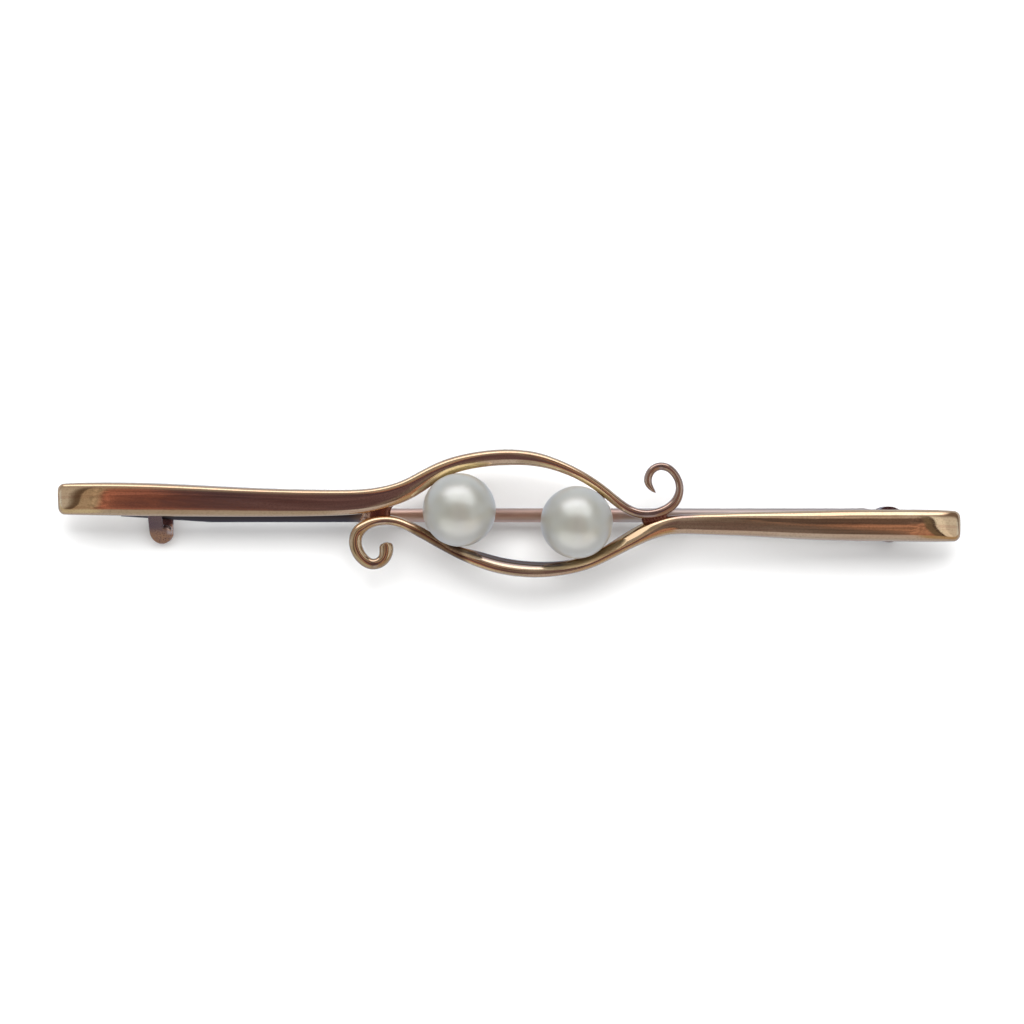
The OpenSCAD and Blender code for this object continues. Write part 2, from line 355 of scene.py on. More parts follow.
def sweep_tree():
    inputs = {"Rail": "Geometry", "Rings": "Int", "Section Points": "Int", "Material": "Material"}
    bench, (rail, rings, points, material) = new_tree("swept_section", inputs)
    grid = bench.add("GeometryNodeMeshGrid", {}, {"Vertices X": rings, "Vertices Y": points})
    index = bench.add("GeometryNodeInputIndex")
    ring = (index / points).calc("FLOOR")
    step = index - ring * points
    # the last point of a ring wraps onto the first, which closes the seam exactly
    turn = step.calc("MODULO", points - 1) * (2 * math.pi) / (points - 1)

    def carried(name, kind):
        """An attribute of the rail's point for this ring."""
        field = bench.add(
            "GeometryNodeInputNamedAttribute", {"data_type": kind}, {"Name": name}, "Attribute"
        )
        return at_ring(field, kind)

    def at_ring(field, kind):
        values = {"Geometry": rail, "Value": field, "Index": ring}
        return bench.add("GeometryNodeSampleIndex", {"data_type": kind, "domain": "POINT"}, values)

    centre = at_ring(bench.add("GeometryNodeInputPosition"), "FLOAT_VECTOR")
    side, up, half_width, half_depth, face_power, back_power, slant, along = [
        carried(name, kind) for name, kind in RAIL.items()
    ]
    across, rise = turn.calc("COSINE"), turn.calc("SINE")
    upper = rise.calc("GREATER_THAN", 0.0)
    power = 2 / (upper * face_power + (1 - upper) * back_power)
    width = across.calc("SIGN") * across.calc("ABSOLUTE") ** power * half_width
    depth = rise.calc("SIGN") * rise.calc("ABSOLUTE") ** power * half_depth
    position = centre + side * width + up * (depth - slant * width)
    placed = bench.add("GeometryNodeSetPosition", {}, {"Geometry": grid, "Position": position})
    steps = {"X": along, "Y": width * (1 / MM), "Z": depth * (1 / MM)}
    run = bench.add("ShaderNodeCombineXYZ", {}, steps)
    kept = bench.add(
        "GeometryNodeStoreNamedAttribute", {"data_type": "FLOAT_VECTOR", "domain": "POINT"},
        {"Geometry": placed, "Name": "run", "Value": run},
    )
    joined = bench.add("GeometryNodeMergeByDistance", {}, {"Geometry": kept, "Distance": 1e-7})
    return finished_tree(bench, joined, material)


SWEEP = sweep_tree()
print("tree", SWEEP.name, len(SWEEP.nodes), "nodes")


# %% [markdown]
# A modifier runs the tree on the rail, and its result is kept as a plain mesh. A rail may run
# either way round, so the faces are turned outwards afterwards.

# %% From rail to plain mesh
def tidy_mesh(mesh, merge=1e-7):
    """Merges doubles, turns faces outwards and shades them smooth."""
    body = bmesh.new()
    body.from_mesh(mesh)
    bmesh.ops.remove_doubles(body, verts=body.verts, dist=merge)
    bmesh.ops.dissolve_degenerate(body, edges=body.edges, dist=1e-8)
    bmesh.ops.recalc_face_normals(body, faces=body.faces)
    body.to_mesh(mesh)
    body.free()
    mesh.shade_smooth()


def through_tree(name, mesh, tree, **inputs):
    """Runs a tree on a mesh and keeps the result as a plain mesh object."""
    source = bpy.data.objects.new(name, mesh)
    bpy.context.scene.collection.objects.link(source)
    modifier = source.modifiers.new("tree", "NODES")
    modifier.node_group = tree
    for item in tree.interface.items_tree:
        if item.in_out == "INPUT" and item.name in inputs:
            modifier[item.identifier] = inputs[item.name]
    depsgraph = bpy.context.evaluated_depsgraph_get()
    made = bpy.data.meshes.new_from_object(source.evaluated_get(depsgraph))
    source.modifiers.clear()
    source.data = made
    made.name = name
    tidy_mesh(made)
    print(name, len(made.polygons), "faces")
    return source


def swept(name, rail, points, material):
    """rail is a list of rows from section(), in mm."""
    mesh = bpy.data.meshes.new(name)
    mesh.from_pydata([tuple(np.array(r["centre"]) * MM) for r in rail], [], [])
    steps = np.diff([r["centre"] for r in rail], axis=0, prepend=[rail[0]["centre"]])
    for row, distance in zip(rail, np.cumsum(np.linalg.norm(steps, axis=1))):
        row["along"] = distance
    for key, kind in RAIL.items():
        layer = mesh.attributes.new(key, kind, "POINT")
        scale = MM if key.startswith("half") else 1.0
        values = np.array([r[key] for r in rail], float) * scale
        layer.data.foreach_set("vector" if kind == "FLOAT_VECTOR" else "value", values.ravel())
    inputs = {"Rings": len(rail), "Section Points": points, "Material": material}
    return through_tree(name, mesh, SWEEP, **inputs)


# %% [markdown]
# ## The two gold strips
# Each strip was forged and filed from one bar: flat and about 2 mm wide at its outer end, narrow
# where it sweeps round the eye, and drawn out to a thin scroll. The rows below are the centre line
# and width at stations along it. They are the CAD's, a few of them moved by up to 0.14 mm to meet
# the outline, with the lean of the face added. The outer end rolls down over its last millimetres,
# which gives the pale curved reflections at both tips. The lower arch and the left scroll's top
# are filed to a slope, which catches a bright line.

# %% Stations of the strips: x, y, width and lean in degrees
STRIP_TOP = 3.8
STRIP_THIN, STRIP_THICKEN = 0.35, 0.45
END_ROLL, END_CORNER = 3.4, 0.45
TIP_CORNER, TIP_LENGTH = 0.6, 0.28
LOWER_SLOPE, SCROLL_SHARE = 0.40, 0.7
ARCH_SLOPES = (-4.8, -3.6, 8.0, 11.5)
SCROLL_SLOPES, SCROLL_UPPER = (-10.6, -9.4, -6.6, -5.2), (-1.3, -0.7)
UPPER = [
    (-30.06, 1.01, 2.02, 1), (-28.47, 1.04, 2.15, 1), (-23.83, 1.00, 2.21, 3),
    (-17.19, 0.81, 1.90, 6), (-12.54, 0.78, 1.75, 1), (-9.89, 0.86, 1.63, 2),
    (-8.23, 1.17, 1.46, 2), (-6.90, 1.61, 1.36, 3), (-5.77, 2.24, 1.26, 4),
    (-4.58, 2.92, 1.13, 5), (-3.25, 3.40, 1.06, 7), (-1.59, 3.70, 1.06, 7),
    (0.07, 3.80, 1.05, 7), (1.73, 3.68, 0.93, 7), (3.25, 3.25, 0.76, 7), (4.71, 2.61, 0.66, 4),
    (6.04, 1.77, 0.64, 0), (7.23, 0.80, 0.64, 0), (8.16, 0.21, 0.64, 0), (9.16, 0.02, 0.62, 0),
    (10.22, 0.22, 0.66, 0), (11.05, 0.83, 0.63, 0), (11.35, 1.76, 0.52, 0), (11.08, 2.59, 0.50, 0),
    (10.49, 3.14, 0.52, 0), (9.76, 3.14, 0.53, 0), (9.29, 2.62, 0.53, 0), (9.29, 1.99, 0.49, 0),
    (9.72, 1.46, 0.13, 0),
]
LOWER = [
    (30.08, -0.79, 2.00, 10), (28.61, -0.75, 2.12, 13), (25.95, -0.72, 2.10, 16),
    (22.63, -0.70, 2.06, 16), (19.31, -0.69, 1.86, 16), (16.00, -0.63, 1.59, 12),
    (13.34, -0.64, 1.41, 8), (11.35, -0.64, 1.28, 9), (10.02, -0.85, 1.25, 12),
    (8.83, -1.28, 1.29, 13), (7.50, -1.99, 1.14, 13), (6.40, -2.60, 1.03, 13),
    (5.10, -3.21, 0.98, 12), (3.38, -3.57, 1.03, 12), (1.39, -3.64, 1.15, 12),
    (-0.60, -3.38, 1.15, 12), (-2.06, -2.94, 1.10, 10), (-3.50, -2.45, 0.80, 8),
    (-4.60, -1.92, 0.64, 10), (-5.91, -1.15, 0.70, 12), (-7.23, -0.52, 0.69, 14),
    (-8.23, -0.37, 0.70, 14), (-9.23, -0.54, 0.75, 12), (-10.00, -1.10, 0.84, 6),
    (-10.21, -1.88, 0.86, 2), (-9.90, -2.74, 0.82, 2), (-9.16, -3.31, 0.72, 2),
    (-8.42, -3.06, 0.76, 0), (-8.16, -2.45, 0.94, 0), (-8.20, -1.88, 0.92, 0),
]
UPPER_POWER, LOWER_POWER, ARCH_POWER, BACK_POWER = 3.3, 2.7, 2.05, 4.0
ARCH_WIDTH, BAR_WIDTH = 1.1, 1.4
print("stations", len(UPPER), "and", len(LOWER))


# %% [markdown]
# The B-spline's control points are moved a little off the stations, so that the smooth curve
# passes them. Rings lie close together where the end rolls down and evenly after that.

# %% A smooth line through the stations
def control_points(rows):
    rows = np.array(rows, float)
    padded = np.vstack([2 * rows[0] - rows[1], rows, 2 * rows[-1] - rows[-2]])
    inner = (8 * padded[1:-1] - padded[:-2] - padded[2:]) / 6
    return np.vstack([2 * inner[0] - inner[1], inner, 2 * inner[-1] - inner[-2]])


def on_line(controls, u):
    """Point and heading of the B-spline at u, where each pair of stations is one unit."""
    i = min(int(u), len(controls) - 4)
    t = u - i
    point = np.array([(1 - t) ** 3, 3 * t**3 - 6 * t**2 + 4, 3 * t**2 + 3 * t + 1 - 3 * t**3, t**3])
    slope = np.array([-((1 - t) ** 2), 3 * t**2 - 4 * t, 1 + 2 * t - 3 * t**2, t**2])
    four = controls[i : i + 4]
    return point @ four / 6, slope @ four / 2


def rolled(distance, length):
    """How far a quarter round has fallen at a distance from its end, from 1 to 0."""
    return 1 - math.sqrt(1 - (1 - distance / length) ** 2) if distance < length else 0.0


def section(centre, side, up, half_width, half_depth, face_power, back_power, slant=0.0):
    return {"centre": centre, "side": side, "up": up, "half_width": half_width, "slant": slant,
            "half_depth": half_depth, "face_power": face_power, "back_power": back_power}


def ramp(value, low, high):
    """0 below low, 1 above high and a smooth rise between."""
    t = float(np.clip((value - low) / (high - low), 0, 1))
    return t * t * (3 - 2 * t)


def between(value, rise_from, rise_to, fall_from, fall_to):
    """0 outside a stretch and 1 inside it, with a smooth rise and fall."""
    return ramp(value, rise_from, rise_to) * (1 - ramp(value, fall_from, fall_to))


def capped(rail, bulge=0.05, steps=6):
    """Closes both ends of a rail with rows that shrink to a point."""
    ends = []
    for first, second in ((rail[0], rail[1]), (rail[-1], rail[-2])):
        out = np.array(first["centre"], float) - np.array(second["centre"], float)
        out /= np.linalg.norm(out)
        rows = []
        for k in range(1, steps + 1):
            a = math.pi / 2 * k / steps
            shrink = 0.0 if k == steps else math.cos(a)
            rows.append({**first, "centre": np.array(first["centre"]) + out * bulge * math.sin(a),
                         "half_width": first["half_width"] * shrink,
                         "half_depth": first["half_depth"] * shrink})
        ends.append(rows)
    return ends[0][::-1] + rail + ends[1]


def strip_rail(rows, bar_power, filed=0.0, rings_between=20, end_rings=36):
    """filed is the slope that the arch's and the scroll's faces have, besides their lean."""
    controls = control_points(rows)
    first_gap = abs(rows[1][0] - rows[0][0])
    rise = [1 - math.cos(math.pi / 2 * k / end_rings) for k in range(end_rings)]
    near = [part * END_ROLL / first_gap for part in rise]
    far = [k / rings_between for k in range(rings_between * (len(rows) - 1) + 1)]
    rail = []
    for u in near + [u for u in far if u > near[-1] + 0.02]:
        (x, y, width, lean), heading = on_line(controls, u)
        side = np.array([heading[1], -heading[0], 0.0])
        side /= np.linalg.norm(side)
        up = np.array([0.0, 0.0, 1.0])
        tip = math.radians(lean)
        end = abs(x - rows[0][0])
        thick = STRIP_THIN + STRIP_THICKEN * width
        fall = (thick - STRIP_THIN) * rolled(end, END_ROLL)
        half = width / 2 - END_CORNER * rolled(end, END_CORNER)
        to_tip = math.hypot(x - rows[-1][0], y - rows[-1][1])
        half *= 1 - TIP_CORNER * rolled(to_tip, TIP_LENGTH)
        face = float(np.interp(width, (ARCH_WIDTH, BAR_WIDTH), (ARCH_POWER, bar_power)))
        middle = STRIP_TOP - thick + (thick - fall) / 2
        arch = between(x, *ARCH_SLOPES)
        scroll_top = between(x, *SCROLL_SLOPES) * ramp(y, *SCROLL_UPPER)
        rail.append(section(
            np.array([x, y, middle]),
            side * math.cos(tip) - up * math.sin(tip),
            up * math.cos(tip) + side * math.sin(tip),
            half, (thick - fall) / 2, face, BACK_POWER,
            filed * (arch + SCROLL_SHARE * scroll_top),
        ))
    return capped(rail)


FINE, COARSE = 65, 49
upper_rail = strip_rail(UPPER, UPPER_POWER)
lower_rail = strip_rail(LOWER, LOWER_POWER, LOWER_SLOPE)
frame_pieces = [
    swept("upper_strip", upper_rail, FINE, strip_gold),
    swept("lower_strip", lower_rail, FINE, strip_gold),
]


# %% [markdown]
# ## Solder
# The left scroll is joined to the upper strip by a web of solder, waisted in the middle, and small
# beads hold the cups and the right scroll. The web is one more swept section. The beads are one
# round grain, set out on points by Geometry Nodes and sized a little differently each time.

# %% The web between the strips
WEB_X, WEB_HIGH, WEB_LOW = -8.83, 0.62, -0.40
WEB_TOP, WEB_DEPTH, WEB_POWER = 3.42, 0.62, 2.4
WEB_WAIST, WEB_FLARE = 0.94, 0.26


def web_rail(steps=24):
    rail = []
    for k in range(steps + 1):
        t = k / steps
        y = WEB_HIGH + (WEB_LOW - WEB_HIGH) * t
        half = WEB_WAIST + WEB_FLARE * abs(2 * t - 1) ** 2.2
        rail.append(section(
            np.array([WEB_X, y, WEB_TOP - WEB_DEPTH / 2]), np.array([1.0, 0, 0]),
            np.array([0, 0, 1.0]), half, WEB_DEPTH / 2, WEB_POWER, WEB_POWER,
        ))
    return capped(rail)


frame_pieces.append(swept("solder_web", web_rail(), COARSE, solder_gold))


# %% [markdown]
# Two beads hold each cup, and six at the right junction run together into a fillet.

# %% The beads of solder
def bead_tree():
    inputs = {"Places": "Geometry", "Bead Radius": "Float", "Seed": "Int", "Material": "Material"}
    bench, (places, radius, seed, material) = new_tree("solder_beads", inputs)
    grain = bench.add("GeometryNodeMeshIcoSphere", {}, {"Radius": radius, "Subdivisions": 5})
    size = bench.add("FunctionNodeRandomValue", {"data_type": "FLOAT_VECTOR"},
                     {"Min": (0.92, 0.92, 0.85), "Max": (1.0, 1.0, 1.0), "Seed": seed})
    spread = bench.add("GeometryNodeInstanceOnPoints", {},
                       {"Points": places, "Instance": grain, "Scale": size})
    return finished_tree(bench, spread, material)


PEARLS = {"left": ((-3.29, 0.30), 4.88, (118, 246)), "right": ((4.49, -0.51), 4.82, (48, 278))}
BEAD_R, BEAD_Z = 0.36, STRIP_TOP - 0.6
FILLET_BEADS, FILLET_Z = 6, STRIP_TOP - 0.49
spots = [(10.2 - 0.21 * k, -0.12 - 0.046 * k, FILLET_Z) for k in range(FILLET_BEADS)]
for (px, py), across, angles in PEARLS.values():
    reach = across / 2 + BEAD_R / 4
    for angle in map(math.radians, angles):
        spots.append((px + reach * math.cos(angle), py + reach * math.sin(angle), BEAD_Z))
bead_places = bpy.data.meshes.new("bead_places")
bead_places.from_pydata([tuple(c * MM for c in place) for place in spots], [], [])
bead_inputs = {"Bead Radius": BEAD_R * MM, "Seed": 3, "Material": solder_gold}
frame_pieces.append(through_tree("solder_beads", bead_places, bead_tree(), **bead_inputs))


# %% [markdown]
# ## Cups, pegs and pearls
# Under each pearl sits a shallow cup with a peg that goes up into the pearl's drilled hole. These
# are turned shapes, so a lathe makes them: an outline of radius and height, spun round the middle.

# %% A lathe
def solid(name, points, faces, material):
    """An object from points in mm and faces."""
    mesh = bpy.data.meshes.new(name)
    mesh.from_pydata([tuple(np.array(p) * MM) for p in points], [], faces)
    tidy_mesh(mesh)
    if material:
        mesh.materials.append(material)
    made = bpy.data.objects.new(name, mesh)
    bpy.context.scene.collection.objects.link(made)
    print(name, len(mesh.polygons), "faces")
    return made


def lathe(name, outline, turns, material, place=lambda p: p, swell=None):
    """Spins an outline of (radius, height) in mm; its first and last points lie on the axis."""
    points, faces = [(0.0, 0.0, outline[0][1])], []
    for r, z in outline[1:-1]:
        for k in range(turns):
            a = 2 * math.pi * k / turns
            points.append((r * math.cos(a), r * math.sin(a), z))
    points.append((0.0, 0.0, outline[-1][1]))
    last = len(points) - 1
    rows = len(outline) - 2
    for k in range(turns):
        n = (k + 1) % turns
        faces.append((0, 1 + n, 1 + k))
        faces.append((last, last - turns + k, last - turns + n))
        for j in range(rows - 1):
            a, b = 1 + j * turns, 1 + (j + 1) * turns
            faces.append((a + k, a + n, b + n, b + k))
    shape = np.array(points)
    if swell:
        shape = swell(shape)
    return solid(name, [place(p) for p in shape], faces, material)


def arc(radius, start, stop, steps):
    """Points of (radius, height) on a circle round the axis' middle, angles from the top."""
    angles = [math.radians(start + (stop - start) * k / steps) for k in range(steps + 1)]
    return [(radius * math.sin(a), radius * math.cos(a)) for a in angles]


# %% [markdown]
# A real pearl is never quite a ball, so its surface gets a slow swell of a few hundredths of a
# millimetre, always inwards, which keeps it clear of its cup. Heights are from the pearl's middle.

# %% Cups and pearls
CUP_FLOOR, CUP_WALL, PEARL_GAP, LIP_DROP = STRIP_TOP - 1.78, 0.3, 0.04, 1.5
PEG_R, PEG_TOP, PEG_FOOT, PEG_EDGE = 0.33, -0.73, 0.12, 0.06
DRILL_R, DRILL_END, DRILL_EDGE, SWELL = 0.38, -0.54, 0.05, 0.006
CUP_TURNS, PEARL_TURNS = 72, 128


def cup_outline(across):
    inner = across / 2 + PEARL_GAP
    outer = inner + CUP_WALL
    lip_out = math.degrees(math.acos(-LIP_DROP / outer))
    lip_in = math.degrees(math.acos(-LIP_DROP / inner))
    peg_foot = 180 - math.degrees(math.asin((PEG_R + PEG_FOOT) / inner))
    floor = -inner * math.cos(math.asin(PEG_R / inner))
    peg = [(PEG_R, floor + PEG_FOOT), (PEG_R, PEG_TOP - PEG_EDGE),
           (PEG_R - PEG_EDGE, PEG_TOP), (0, PEG_TOP)]
    return ([(0, -outer)] + arc(outer, 179, lip_out + 1.5, 40)
            + [(outer * math.sin(math.radians(lip_out)) - 0.08, -LIP_DROP + 0.01)]
            + arc(inner, lip_in + 1.0, peg_foot, 30) + peg)


def pearl_outline(across):
    radius = across / 2
    mouth = 180 - math.degrees(math.asin((DRILL_R + 0.03) / radius))
    foot = radius * math.cos(math.radians(mouth))
    drill = [(DRILL_R, foot + DRILL_EDGE), (DRILL_R, DRILL_END - DRILL_EDGE),
             (DRILL_R - DRILL_EDGE, DRILL_END), (0, DRILL_END)]
    return arc(radius, 0, mouth, 110) + drill


def swollen(shape, phase):
    unit = shape / np.maximum(np.linalg.norm(shape, axis=1, keepdims=True), 1e-6)
    x, y, z = unit.T
    wave = (np.sin(2.3 * x + 1.7 * y + phase) + np.sin(1.9 * z - 2.6 * x + 2 * phase)) / 2
    return shape * (1 - SWELL + SWELL * wave[:, None])


pearl_pieces = {}
for number, (side, ((px, py), across, _)) in enumerate(PEARLS.items()):
    middle = (px, py, CUP_FLOOR + CUP_WALL + PEARL_GAP + across / 2)

    def seat(p, middle=middle):
        return np.array(p) + middle

    def swell(shape, number=number):
        return swollen(shape, 1.3 + 2.1 * number)

    frame_pieces.append(lathe(f"{side}_cup", cup_outline(across), CUP_TURNS, turned_gold, seat))
    pearl_pieces[side] = lathe(f"{side}_pearl_bead", pearl_outline(across), PEARL_TURNS, nacre,
                               seat, swell)


# %% [markdown]
# ## The catch
# The catch is a strip of thin sheet, soldered under the left bar. It leans out, turns round at the
# surface the brooch lies on and comes back under the pin. Its visible end is rounded, and above a
# notch the sheet is narrower. Bent sheet is again a swept section, thin and nearly square.

# %% The hook
HOOK_X, HOOK_W, HOOK_SHEET, HOOK_TURN = -23.35, 1.5, 0.42, 0.25
HOOK_ROOT, HOOK_CORNER, HOOK_TIP_Y, HOOK_ROUND_Y = (0.28, 2.86), (-2.07, 0.21), 0.15, -1.24
NOTCH_W, NOTCH_Z, NOTCH_SOFT, SHEET_POWER = 0.56, 1.55, 0.08, 7.0


def hook_path(step=0.05):
    """The middle of the sheet in (y, z): leaf, turn and floor, at about equal steps."""
    root, corner = np.array(HOOK_ROOT), np.array(HOOK_CORNER)
    leaf = (corner - root) / np.linalg.norm(corner - root)
    back = np.array([1.0, 0.0])
    half_angle = math.acos(float(-leaf @ back)) / 2
    reach = HOOK_TURN / math.tan(half_angle)
    start, stop = corner - leaf * reach, corner + back * reach
    middle = corner + (back - leaf) / np.linalg.norm(back - leaf) * HOOK_TURN / math.sin(half_angle)
    a0 = math.atan2(*(start - middle)[::-1])
    a1 = math.atan2(*(stop - middle)[::-1])
    a1 += 2 * math.pi * (a1 < a0)
    count = int(np.linalg.norm(start - root) / step)
    path = [root + (start - root) * k / count for k in range(count)]
    bend = [np.array([math.cos(a), math.sin(a)]) for a in np.linspace(a0, a1, 48)]
    path += [middle + HOOK_TURN * way for way in bend]
    end = np.array([HOOK_TIP_Y, HOOK_CORNER[1]])
    path += [stop + (end - stop) * k / 30 for k in range(1, 31)]
    return path


def hook_rail():
    path = hook_path()
    rail = []
    for k, (y, z) in enumerate(path):
        before, after = path[max(k - 1, 0)], path[min(k + 1, len(path) - 1)]
        heading = (after - before) / np.linalg.norm(after - before)
        up = np.array([0.0, -heading[1], heading[0]])
        past = min(0.0, y - abs(up[1]) * HOOK_SHEET / 2 - HOOK_ROUND_Y)
        half = math.sqrt(max(HOOK_W**2 / 4 - past**2, 0.01))
        on_leaf = heading[1] < -0.3
        above = float(np.clip((z - NOTCH_Z + NOTCH_SOFT) / (2 * NOTCH_SOFT), 0, 1))
        cut = NOTCH_W * above if on_leaf else 0.0
        rail.append(section(
            np.array([HOOK_X - cut / 2, y, z]), np.array([1.0, 0, 0]), up,
            half - cut / 2, HOOK_SHEET / 2, SHEET_POWER, SHEET_POWER,
        ))
    return capped(rail, 0.12)


frame_pieces.append(swept("catch_hook", hook_rail(), FINE, painted_shade_gold))


# %% [markdown]
# ## The pin, its rivet and its joint
# The pin is a drawn wire, flattened at one end into an eye and ground to a point at the other. The
# eye turns on a rivet between two ears under the right bar. The rivet leans by 40 degrees, which
# lets the straight pin leave the hook's open side. The block with the ears is cut with booleans,
# as it would be sawn and drilled.

# %% Places round the rivet
RIVET = np.array([25.35, -0.06, 1.35])
TILT = math.radians(40)
LEAN_Y = np.array([0.0, math.cos(TILT), math.sin(TILT)])
LEAN_Z = np.array([0.0, -math.sin(TILT), math.cos(TILT)])
EYE_R, EYE_THICK, RIVET_R, RUN_GAP, SIDE_GAP = 0.6, 0.5, 0.22, 0.02, 0.05
PIN_R, PIN_LENGTH, POINT_LENGTH, POINT_R = 0.47, 51.4, 6.0, 0.06
TANG_LENGTH, TANG_R, FLAT_POWER, ROUND_POWER = 2.2, 0.40, 6.0, 2.0
SLIM_FROM, SLIM_BY = 30.0, 0.01


def at_rivet(p):
    """A point given along the pin, the rivet and the way between, to its place."""
    return RIVET + np.array([p[0], 0, 0]) + LEAN_Y * p[1] + LEAN_Z * p[2]


def prism(name, outline, low, high, material=None, place=lambda p: p):
    """An outline of (x, y) carried from low to high, then put in place."""
    n = len(outline)
    points = [place((x, y, z)) for z in (low, high) for x, y in outline]
    faces = [tuple(range(n - 1, -1, -1)), tuple(range(n, 2 * n))]
    faces += [(k, (k + 1) % n, n + (k + 1) % n, n + k) for k in range(n)]
    return solid(name, points, faces, material)


def rectangle(half_x, half_y):
    return [(-half_x, -half_y), (half_x, -half_y), (half_x, half_y), (-half_x, half_y)]


def circle(radius, turns, centre=(0.0, 0.0)):
    angles = [2 * math.pi * k / turns for k in range(turns)]
    return [(centre[0] + radius * math.cos(a), centre[1] + radius * math.sin(a)) for a in angles]


def machined(piece, cutters, edge):
    """Cuts or joins the other shapes, softens the edges and keeps a plain mesh."""
    for operation, cutter in cutters:
        modifier = piece.modifiers.new(operation, "BOOLEAN")
        modifier.operation, modifier.object, modifier.solver = operation, cutter, "EXACT"
    if edge:
        bevel = piece.modifiers.new("edge", "BEVEL")
        bevel.width, bevel.segments, bevel.limit_method = edge * MM, 3, "ANGLE"
        bevel.angle_limit = math.radians(35)
    depsgraph = bpy.context.evaluated_depsgraph_get()
    made = bpy.data.meshes.new_from_object(piece.evaluated_get(depsgraph))
    piece.modifiers.clear()
    piece.data = made
    tidy_mesh(made, merge=1e-6)
    made.set_sharp_from_angle(angle=math.radians(40))
    for _, cutter in cutters:
        bpy.data.objects.remove(cutter)
    print(piece.name, len(made.polygons), "faces")


# %% [markdown]
# The wire's sections are given by the way s from the rivet, in four stretches: the round eye, the
# tang where flat turns to round, the shaft and the ground point. The front part is 0.01 mm slimmer.

# %% The pin wire
def wire_rail():
    rail = []
    eye = [-EYE_R + EYE_R * (1 - math.cos(math.pi / 2 * k / 16)) for k in range(1, 17)]
    tang = [TANG_LENGTH * k / 40 for k in range(1, 41)]
    taper_from = PIN_LENGTH - POINT_LENGTH
    shaft = [TANG_LENGTH + (taper_from - TANG_LENGTH) * k / 60 for k in range(1, 61)]
    point = [taper_from + (POINT_LENGTH - 0.05) * k / 40 for k in range(1, 41)]
    for s in eye + tang + shaft + point:
        round_eye = math.sqrt(max(EYE_R**2 - s**2, 0)) if s < EYE_R else 0.0
        drawn = TANG_R + (PIN_R - TANG_R) * float(np.clip((s - 0.8) / 1.2, 0, 1))
        deep = round_eye if s < 0 else max(round_eye, drawn)
        grown = float(np.clip((s - 1.0) / 1.0, 0, 1))
        thick = EYE_THICK / 2 + (PIN_R - EYE_THICK / 2) * grown**2 * (3 - 2 * grown)
        if s > SLIM_FROM:
            taper = float(np.clip((PIN_LENGTH - s) / POINT_LENGTH, 0, 1))
            deep = thick = POINT_R + (PIN_R - SLIM_BY - POINT_R) * taper
        power = FLAT_POWER + (ROUND_POWER - FLAT_POWER) * grown
        rail.append(section(at_rivet((-s, 0, 0)), LEAN_Y, LEAN_Z, thick, deep, power, power))
    return capped(rail, 0.04)


def across_eye(p):
    return at_rivet((p[0], p[2], p[1]))


pin_wire = swept("pin_wire", wire_rail(), COARSE, wire_gold)
hole = prism("eye_hole", circle(RIVET_R + RUN_GAP, 48), -1, 1, None, across_eye)
machined(pin_wire, [("DIFFERENCE", hole)], 0.0)


# %% [markdown]
# The rivet and its hole in the block are one outline, spun once as it is and once a little wider.
# A slot for the pin's eye and that hole are cut out of the block, which leaves the two ears.

# %% The rivet and the joint's block
RIVET_BACK, RIVET_FRONT, RIVET_HEAD_R, RIVET_HEAD_H = 1.25, 0.53, 0.32, 0.10
PLATE = (25.35, -0.66)
PLATE_R, PLATE_THICK, PLATE_SUNK, PLATE_TURNS = 1.19, 0.4, 0.25, 96
EAR_SPAN, SLOT_HEAD, BLOCK_EDGE, RIVET_TURNS = 1.5, 0.1, 0.03, 64
BAR_AT_JOINT = 2.12
JOINT_TOP = STRIP_TOP - (STRIP_THIN + STRIP_THICKEN * BAR_AT_JOINT)


def rivet_outline(gap, run_on):
    """The rivet's outline or, with a gap and a longer head, its hole's."""
    body, head, front = RIVET_R + gap, RIVET_HEAD_R + gap, RIVET_FRONT
    start = -RIVET_BACK - gap
    neck = front - RIVET_HEAD_H
    if run_on:
        return [(0, start), (body, start), (body, neck), (head, front),
                (head, front + run_on), (0, front + run_on)]
    return [(0, start), (body - 0.03, start), (body, start + 0.03), (body, neck),
            (head, front - 0.015), (head - 0.02, front), (head * 0.6, front + 0.015),
            (0, front + 0.02)]


def along_rivet(p):
    return at_rivet((p[0], p[2], -p[1]))


def ear_outline():
    """The plate's circle cut off at the ears' flat sides, so that both share their corners."""
    rim = circle(PLATE_R, PLATE_TURNS, PLATE)
    left, right = PLATE[0] - EAR_SPAN / 2, PLATE[0] + EAR_SPAN / 2
    bows = []
    for sign in (1, -1):
        half_rim = sorted(p for p in rim if (p[1] - PLATE[1]) * sign > -1e-9)
        ends = [(x, float(np.interp(x, *zip(*half_rim)))) for x in (left, right)]
        inner = [p for p in half_rim if left + 1e-6 < p[0] < right - 1e-6]
        bows.append([ends[0], *inner, ends[1]])
    return bows[0][::-1] + bows[1]


rivet = lathe("rivet", rivet_outline(0, 0), RIVET_TURNS, turned_gold, along_rivet)
rivet.data.set_sharp_from_angle(angle=math.radians(40))
seat_hole = lathe("rivet_seat", rivet_outline(RUN_GAP, 1.0), RIVET_TURNS, None, along_rivet)
slot_half = EYE_THICK / 2 + SIDE_GAP
slot = prism("slot", rectangle(EAR_SPAN, slot_half), -STRIP_TOP, EYE_R + SLOT_HEAD, None, at_rivet)
plate_rim = circle(PLATE_R, PLATE_TURNS, PLATE)
plate = prism("plate", plate_rim, JOINT_TOP - PLATE_THICK, JOINT_TOP + PLATE_SUNK)
joint_block = prism("joint_block", ear_outline(), 0.0, JOINT_TOP, painted_shade_gold)
steps = [("UNION", plate), ("DIFFERENCE", slot), ("DIFFERENCE", seat_hole)]
machined(joint_block, steps, BLOCK_EDGE)
frame_pieces.append(joint_block)
